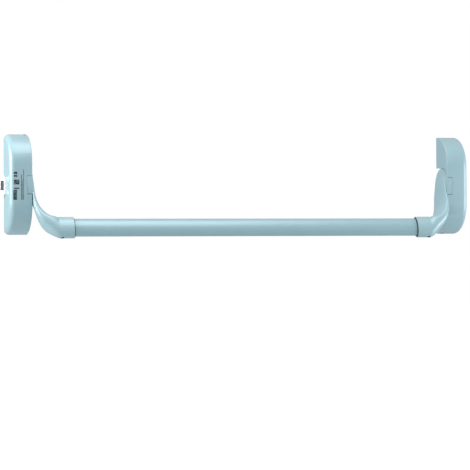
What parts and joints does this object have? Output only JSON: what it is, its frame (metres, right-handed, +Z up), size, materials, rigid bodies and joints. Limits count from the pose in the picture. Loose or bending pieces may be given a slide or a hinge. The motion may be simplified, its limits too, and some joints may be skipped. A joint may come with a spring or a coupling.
{
  "type": "panic exit bar",
  "caption": "Push-bar emergency exit device: two surface housings on a door, cranked arms, an oval push tube and a side latch bolt.",
  "frame": {"origin": "middle of the latch-side base plate's back face, on the door face", "axes": "+X along the bar from the latch housing to the idle housing, +Y into the door, +Z up"},
  "size_m": [0.926, 0.0991, 0.198],
  "materials": {
    "silver_paint": "satin silver-grey powder coat on a die casting",
    "silver_tube": "satin silver-grey powder coat on drawn tube",
    "zinc_steel": "zinc-plated sheet steel",
    "cast_zinc": "raw die-cast zinc",
    "screw_steel": "zinc-plated screws",
    "dark_steel": "blackened set screws",
    "bright_steel": "ground steel pins",
    "bolt_steel": "bright nickel-plated latch bolt",
    "spring_steel": "spring steel",
    "bronze": "sintered bronze",
    "black_nylon": "black nylon",
    "black_rubber": "black rubber"
  },
  "bodies": {
    "root": {"active_cover": "silver_paint", "active_base_plate": "zinc_steel", "active_cover_screw": "screw_steel", "active_bearing_block": "cast_zinc", "active_block_screws": "screw_steel", "active_pivot_pin": "bright_steel", "latch_springs": "spring_steel", "latch_guide": "zinc_steel", "rocker_bracket": "zinc_steel", "bracket_rivets": "bright_steel", "rocker_pin": "bright_steel", "rocker_clip": "spring_steel", "idle_cover": "silver_paint", "idle_base_plate": "zinc_steel", "idle_cover_screw": "screw_steel", "idle_bearing_block": "cast_zinc", "idle_block_screws": "screw_steel", "idle_pivot_pin": "bright_steel"},
    "bar": {"active_arm": "silver_paint", "idle_arm": "silver_paint", "push_tube": "silver_tube", "active_tube_seal": "black_rubber", "idle_tube_seal": "black_rubber", "active_grub_screw": "dark_steel", "idle_grub_screw": "dark_steel", "active_hub_bush": "bronze", "idle_hub_bush": "bronze", "active_return_spring": "spring_steel", "idle_return_spring": "spring_steel", "drive_pin": "bright_steel"},
    "latch": {"latch_bolt": "bolt_steel", "latch_insert": "black_nylon", "latch_pin": "bright_steel"},
    "rocker": {"rocker": "zinc_steel", "rocker_bush": "bronze"}
  },
  "joints": [
    {"name": "bar_push", "type": "hinge", "parent": "root", "child": "bar", "pos_m": [0, -0.03, -0.0022], "axis": [1, 0, 0], "range_deg": [0, 22], "stiffness_Nm_per_rad": 3, "springref_deg": -45.84},
    {"name": "latch_draw", "type": "slide", "parent": "root", "child": "latch", "axis": [1, 0, 0], "range_m": [0, 0.014], "deforming": ["latch_springs"]},
    {"name": "rocker_turn", "type": "hinge", "parent": "root", "child": "rocker", "pos_m": [-0.0075, -0.0398, 0.01916], "axis": [0, 0, -1], "range_deg": [0, 35.6]}
  ],
  "couplings": [
    {"joint": "latch_draw", "follows": "bar_push", "m_per_rad": 0.03646},
    {"joint": "rocker_turn", "follows": "bar_push", "ratio": 1.6182}
  ]
}
